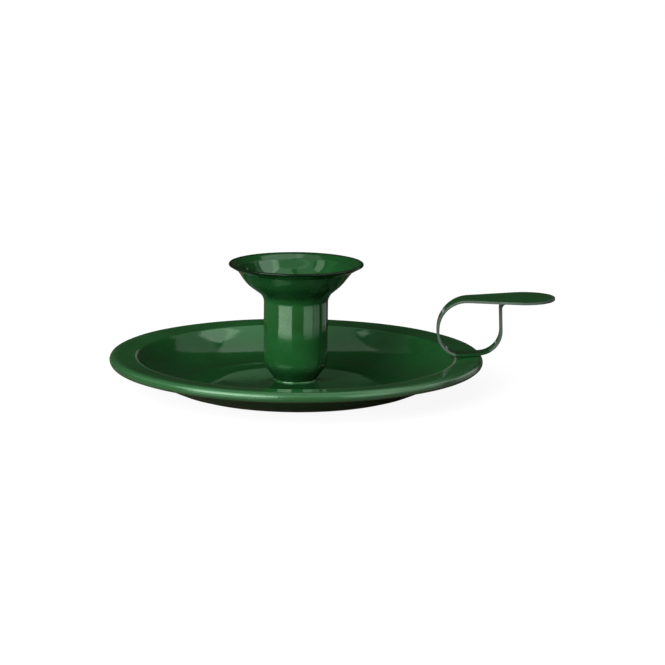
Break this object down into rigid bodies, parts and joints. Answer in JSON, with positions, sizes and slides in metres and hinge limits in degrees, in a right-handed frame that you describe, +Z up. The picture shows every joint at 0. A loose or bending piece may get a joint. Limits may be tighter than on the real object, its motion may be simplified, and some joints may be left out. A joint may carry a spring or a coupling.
{
  "type": "chamberstick",
  "caption": "Enamelled steel chamberstick: shallow dish with a rolled rim, a flared candle socket fixed in its middle, and a strip handle with a finger loop and a leaf-shaped thumb rest.",
  "frame": {"origin": "on the table, under the middle of the candle socket", "axes": "+Z up along the candle socket, +X towards the handle"},
  "size_m": [0.1792, 0.15, 0.0513],
  "materials": {
    "green_enamel": "glossy dark green vitreous enamel on steel sheet",
    "weld_steel": "fused steel, hidden between the sheets"
  },
  "bodies": {
    "root": {"dish": "green_enamel", "candle_socket": "green_enamel", "handle_strip": "green_enamel", "socket_rivet": "green_enamel", "foot_fillet": "green_enamel", "seat_welds": "weld_steel", "thumb_rest_weld": "weld_steel"}
  },
  "joints": []
}
